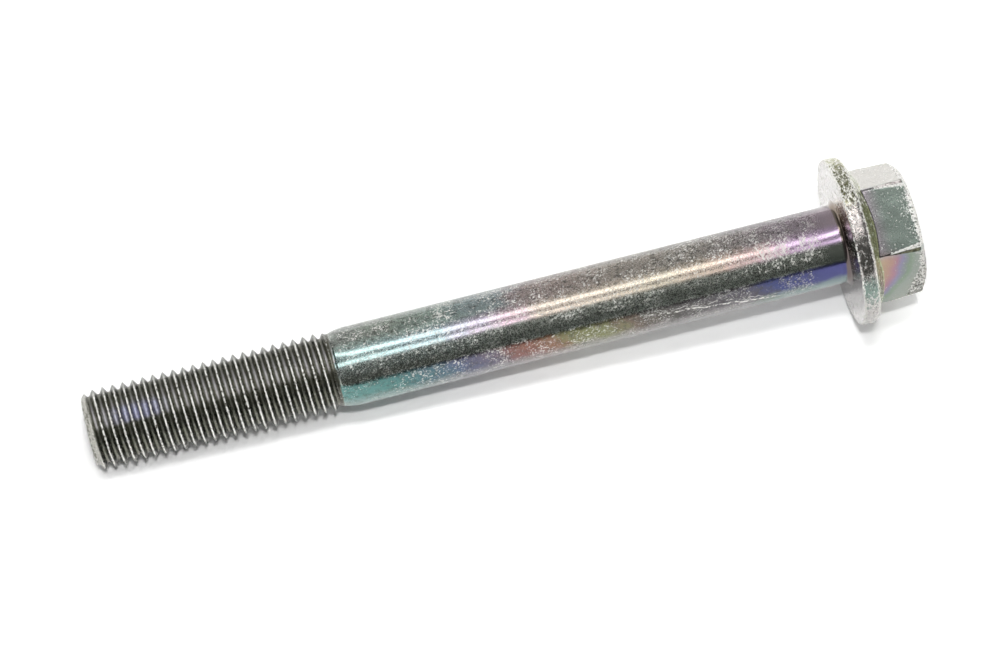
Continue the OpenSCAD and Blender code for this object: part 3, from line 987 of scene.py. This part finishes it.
STRIP_LEAN = math.radians(-20)
STRIP_AWAY = 0.7
KEY_AWAY = 0.9
BOX_AWAY = 0.8
LIT_Z = 0.06
KEY_LIGHT = 1.2


def make_light():
    """Strips that the metal mirrors, two keys for the table's shadows, a soft box and a graded room.

    The front strip comes in two lengths, of which the one by the head is dimmer.
    """
    def overhead(degrees):
        turn = math.radians(degrees)
        return math.cos(turn) * TO_CAMERA + math.sin(turn) * IMAGE_DOWN

    for name, degrees, middle, length, width, radiance, lean in (
            ("strip_back", -37.5, 0.15, 0.9, 0.12, 2.8, STRIP_LEAN),
            ("strip_front", -10.8, 0.33, 0.7, 0.122, 2.7, 0.0),
            ("strip_end", -9.8, -0.16, 0.26, 0.10, 1.4, 0.0)):
        strip = lamp(name, overhead(degrees), STRIP_AWAY, middle, length, width, radiance, lean)
        strip.visible_diffuse = False
    for name, degrees, length, width in (("key_front", -9.3, 0.10, 0.05), ("key_back", -25, 0.3, 0.11)):
        radiance = KEY_LIGHT / (length * width)
        key = lamp(name, overhead(degrees), KEY_AWAY, LIT_Z, length, width, radiance)
        key.visible_glossy = False
    top = lamp("tip_box", 0.75 * AXIS + 0.66 * TABLE_UP, BOX_AWAY, LIT_Z, 0.5, 0.7, 0.9)
    top.visible_glossy = False
    world = bpy.data.worlds.new("room")
    bpy.context.scene.world = world
    world.use_nodes = True
    tree = world.node_tree
    tree.nodes.clear()
    way = node(tree, "ShaderNodeTexCoord").outputs["Generated"]
    raised = band(tree, along(tree, way, TABLE_UP), 0.0, 0.5)
    back = blend(tree, raised, (0.60, 0.60, 0.60), (0.43, 0.43, 0.43))
    ahead = band(tree, along(tree, way, TABLE_FRONT), -0.15, 0.35)
    room = blend(tree, ahead, back, (0.11, 0.115, 0.11))
    endwise = calc(tree, "ABSOLUTE", along(tree, way, AXIS))
    room = blend(tree, band(tree, endwise, 0.3, 0.65), room, (0.12, 0.12, 0.12))
    path = node(tree, "ShaderNodeLightPath").outputs
    mirrored = calc(tree, "MAXIMUM", path["Is Glossy Ray"], path["Is Transmission Ray"])
    mirrored = calc(tree, "MULTIPLY", mirrored, band(tree, along(tree, way, TO_CAMERA), -0.5, -0.8))
    seen = calc(tree, "MAXIMUM", path["Is Camera Ray"], mirrored)
    colour = blend(tree, seen, room, (1.0, 1.0, 1.0))
    glow = node(tree, "ShaderNodeBackground", {"Color": colour, "Strength": 1.0}).outputs[0]
    node(tree, "ShaderNodeOutputWorld", {"Surface": glow})


# Camera

# Image measures, in pixels of the 1000 by 667 picture
IMAGE_W = 1000
FOCAL_PX = 3700
AXIS_SLOPE = math.radians(14.11)
AXIS_ABOVE_CENTRE = 4.8
# Height of the axis point at the picture's centre, its distance, and how far the view looks down
AIM_Z = 0.0626
DISTANCE = 0.542
LOOK_DOWN = math.radians(3.5)
# Sensor width in millimetres
SENSOR_W = 36.0


def make_camera():
    """The picture's view: the axis runs up to the right, the head away from the lens."""
    back = math.cos(LOOK_DOWN) * TO_CAMERA + math.sin(LOOK_DOWN) * AXIS
    towards_head = -AXIS + (AXIS @ back) * back
    towards_head /= np.linalg.norm(towards_head)
    across = np.cross(-back, towards_head)
    right = math.cos(AXIS_SLOPE) * towards_head + math.sin(AXIS_SLOPE) * across
    up = math.sin(AXIS_SLOPE) * towards_head - math.cos(AXIS_SLOPE) * across
    data = bpy.data.cameras.new("camera")
    data.sensor_width = SENSOR_W
    data.lens = SENSOR_W * FOCAL_PX / IMAGE_W
    data.clip_start, data.clip_end = 0.01, 10.0
    made = bpy.data.objects.new("camera", data)
    place = AIM_Z * AXIS + DISTANCE * back + across * AXIS_ABOVE_CENTRE * DISTANCE / FOCAL_PX
    turned = Matrix((right, up, back)).transposed().to_4x4()
    turned.translation = Vector(place)
    made.matrix_world = turned
    bpy.context.scene.collection.objects.link(made)
    bpy.context.scene.camera = made


bpy.context.scene.view_settings.view_transform = "Standard"
make_bolt()
make_stage()
make_light()
make_camera()
